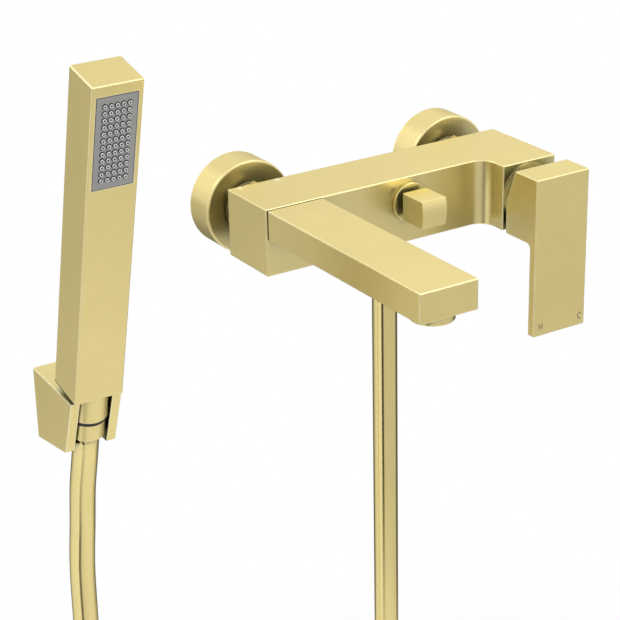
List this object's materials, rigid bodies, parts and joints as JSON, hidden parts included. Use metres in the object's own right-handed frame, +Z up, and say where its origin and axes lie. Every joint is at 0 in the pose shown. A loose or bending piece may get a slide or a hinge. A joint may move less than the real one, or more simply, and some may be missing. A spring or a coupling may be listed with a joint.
{
  "type": "bath shower mixer",
  "caption": "Wall mounted bath and shower mixer: square bar body, flat spout, lever over a domed cap, pull knob diverter, and a square stick handset on a hose in a wall bracket.",
  "frame": {"origin": "on the wall face, midway between the centres of the two water inlets", "axes": "+X along the body towards the lever, +Y into the wall, +Z up"},
  "size_m": [0.3215, 0.2533, 0.7743],
  "materials": {
    "satin_brass": "brushed pale brass with a satin coating",
    "raw_brass": "machined brass, uncoated",
    "satin_hose": "smooth plastic hose with a pale brass coloured satin sheath",
    "stainless": "plain stainless steel",
    "rubber": "black sealing rubber",
    "silicone": "pale soft silicone",
    "ceramic": "ground white ceramic",
    "white_plastic": "white acetal",
    "dark_plastic": "dark grey acetal",
    "grey_plastic": "mid grey moulded plastic"
  },
  "bodies": {
    "mixer": {"mixer_body": "satin_brass", "spout": "satin_brass", "spout_nipple": "raw_brass", "spout_seals": "rubber", "spout_screws": "stainless", "aerator_ring": "satin_brass", "aerator_grid": "white_plastic", "aerator_washer": "rubber", "wall_union_left": "raw_brass", "wall_union_right": "raw_brass", "wall_flange_left": "satin_brass", "wall_flange_right": "satin_brass", "flange_seals": "rubber", "union_nut_left": "satin_brass", "union_nut_right": "satin_brass", "union_washer_left": "rubber", "union_washer_right": "rubber", "union_tail_left": "raw_brass", "union_tail_right": "raw_brass", "cartridge_base": "white_plastic", "cartridge_seals": "rubber", "fixed_disc": "ceramic", "cartridge_housing": "white_plastic", "retaining_nut": "raw_brass", "cartridge_cap": "satin_brass", "diverter_plate": "satin_brass", "diverter_seat": "raw_brass", "diverter_seal": "rubber", "diverter_spring": "stainless", "outlet_nipple": "satin_brass", "hose_nut": "satin_brass", "hose_washer_mixer": "rubber", "hose_ferrule_mixer": "satin_brass", "shower_hose": "satin_hose", "bracket": "satin_brass", "bracket_screws": "stainless"},
    "mixing_spindle": {"spindle": "dark_plastic", "spindle_pin": "stainless"},
    "lever": {"lever_stem": "stainless", "lever": "satin_brass", "lever_grub_screw": "stainless", "lever_plug": "satin_brass"},
    "ceramic_disc": {"moving_disc": "ceramic"},
    "diverter": {"diverter_knob": "satin_brass", "diverter_stem": "stainless", "diverter_head": "rubber"},
    "hose_end": {"hose_ferrule_handset": "dark_plastic", "swivel_collar": "satin_brass"},
    "handset": {"cone_nut": "satin_brass", "hose_washer_handset": "rubber", "handset_shell": "satin_brass", "handset_inlet": "raw_brass", "handset_pipe": "white_plastic", "spray_chamber": "white_plastic", "nozzle_mat": "silicone", "spray_plate": "grey_plastic"}
  },
  "joints": [
    {"name": "temperature_turn", "type": "hinge", "parent": "mixer", "child": "mixing_spindle", "pos_m": [0.079, -0.09, 0], "axis": [0, 1, 0], "range_deg": [-45, 45]},
    {"name": "flow_lift", "type": "hinge", "parent": "mixing_spindle", "child": "lever", "pos_m": [0.079, -0.09, 0], "axis": [-1, 0, 0], "range_deg": [0, 21]},
    {"name": "disc_slide", "type": "slide", "parent": "mixing_spindle", "child": "ceramic_disc", "axis": [0, 0, 1], "range_m": [-0.0043, 0]},
    {"name": "diverter_pull", "type": "slide", "parent": "mixer", "child": "diverter", "axis": [0, -1, 0], "range_m": [0, 0.008], "stiffness_N_per_m": 300, "springref_m": -0.01, "deforming": ["diverter_spring"]},
    {"name": "handset_lift", "type": "slide", "parent": "mixer", "child": "hose_end", "axis": [0, -0.2419, 0.9703], "range_m": [0, 0.06]},
    {"name": "hose_swivel", "type": "hinge", "parent": "hose_end", "child": "handset", "pos_m": [-0.2005, -0.042, -0.0795], "axis": [0, -0.2419, 0.9703], "continuous": true}
  ],
  "couplings": [
    {"joint": "disc_slide", "follows": "flow_lift", "m_per_rad": -0.0113}
  ]
}
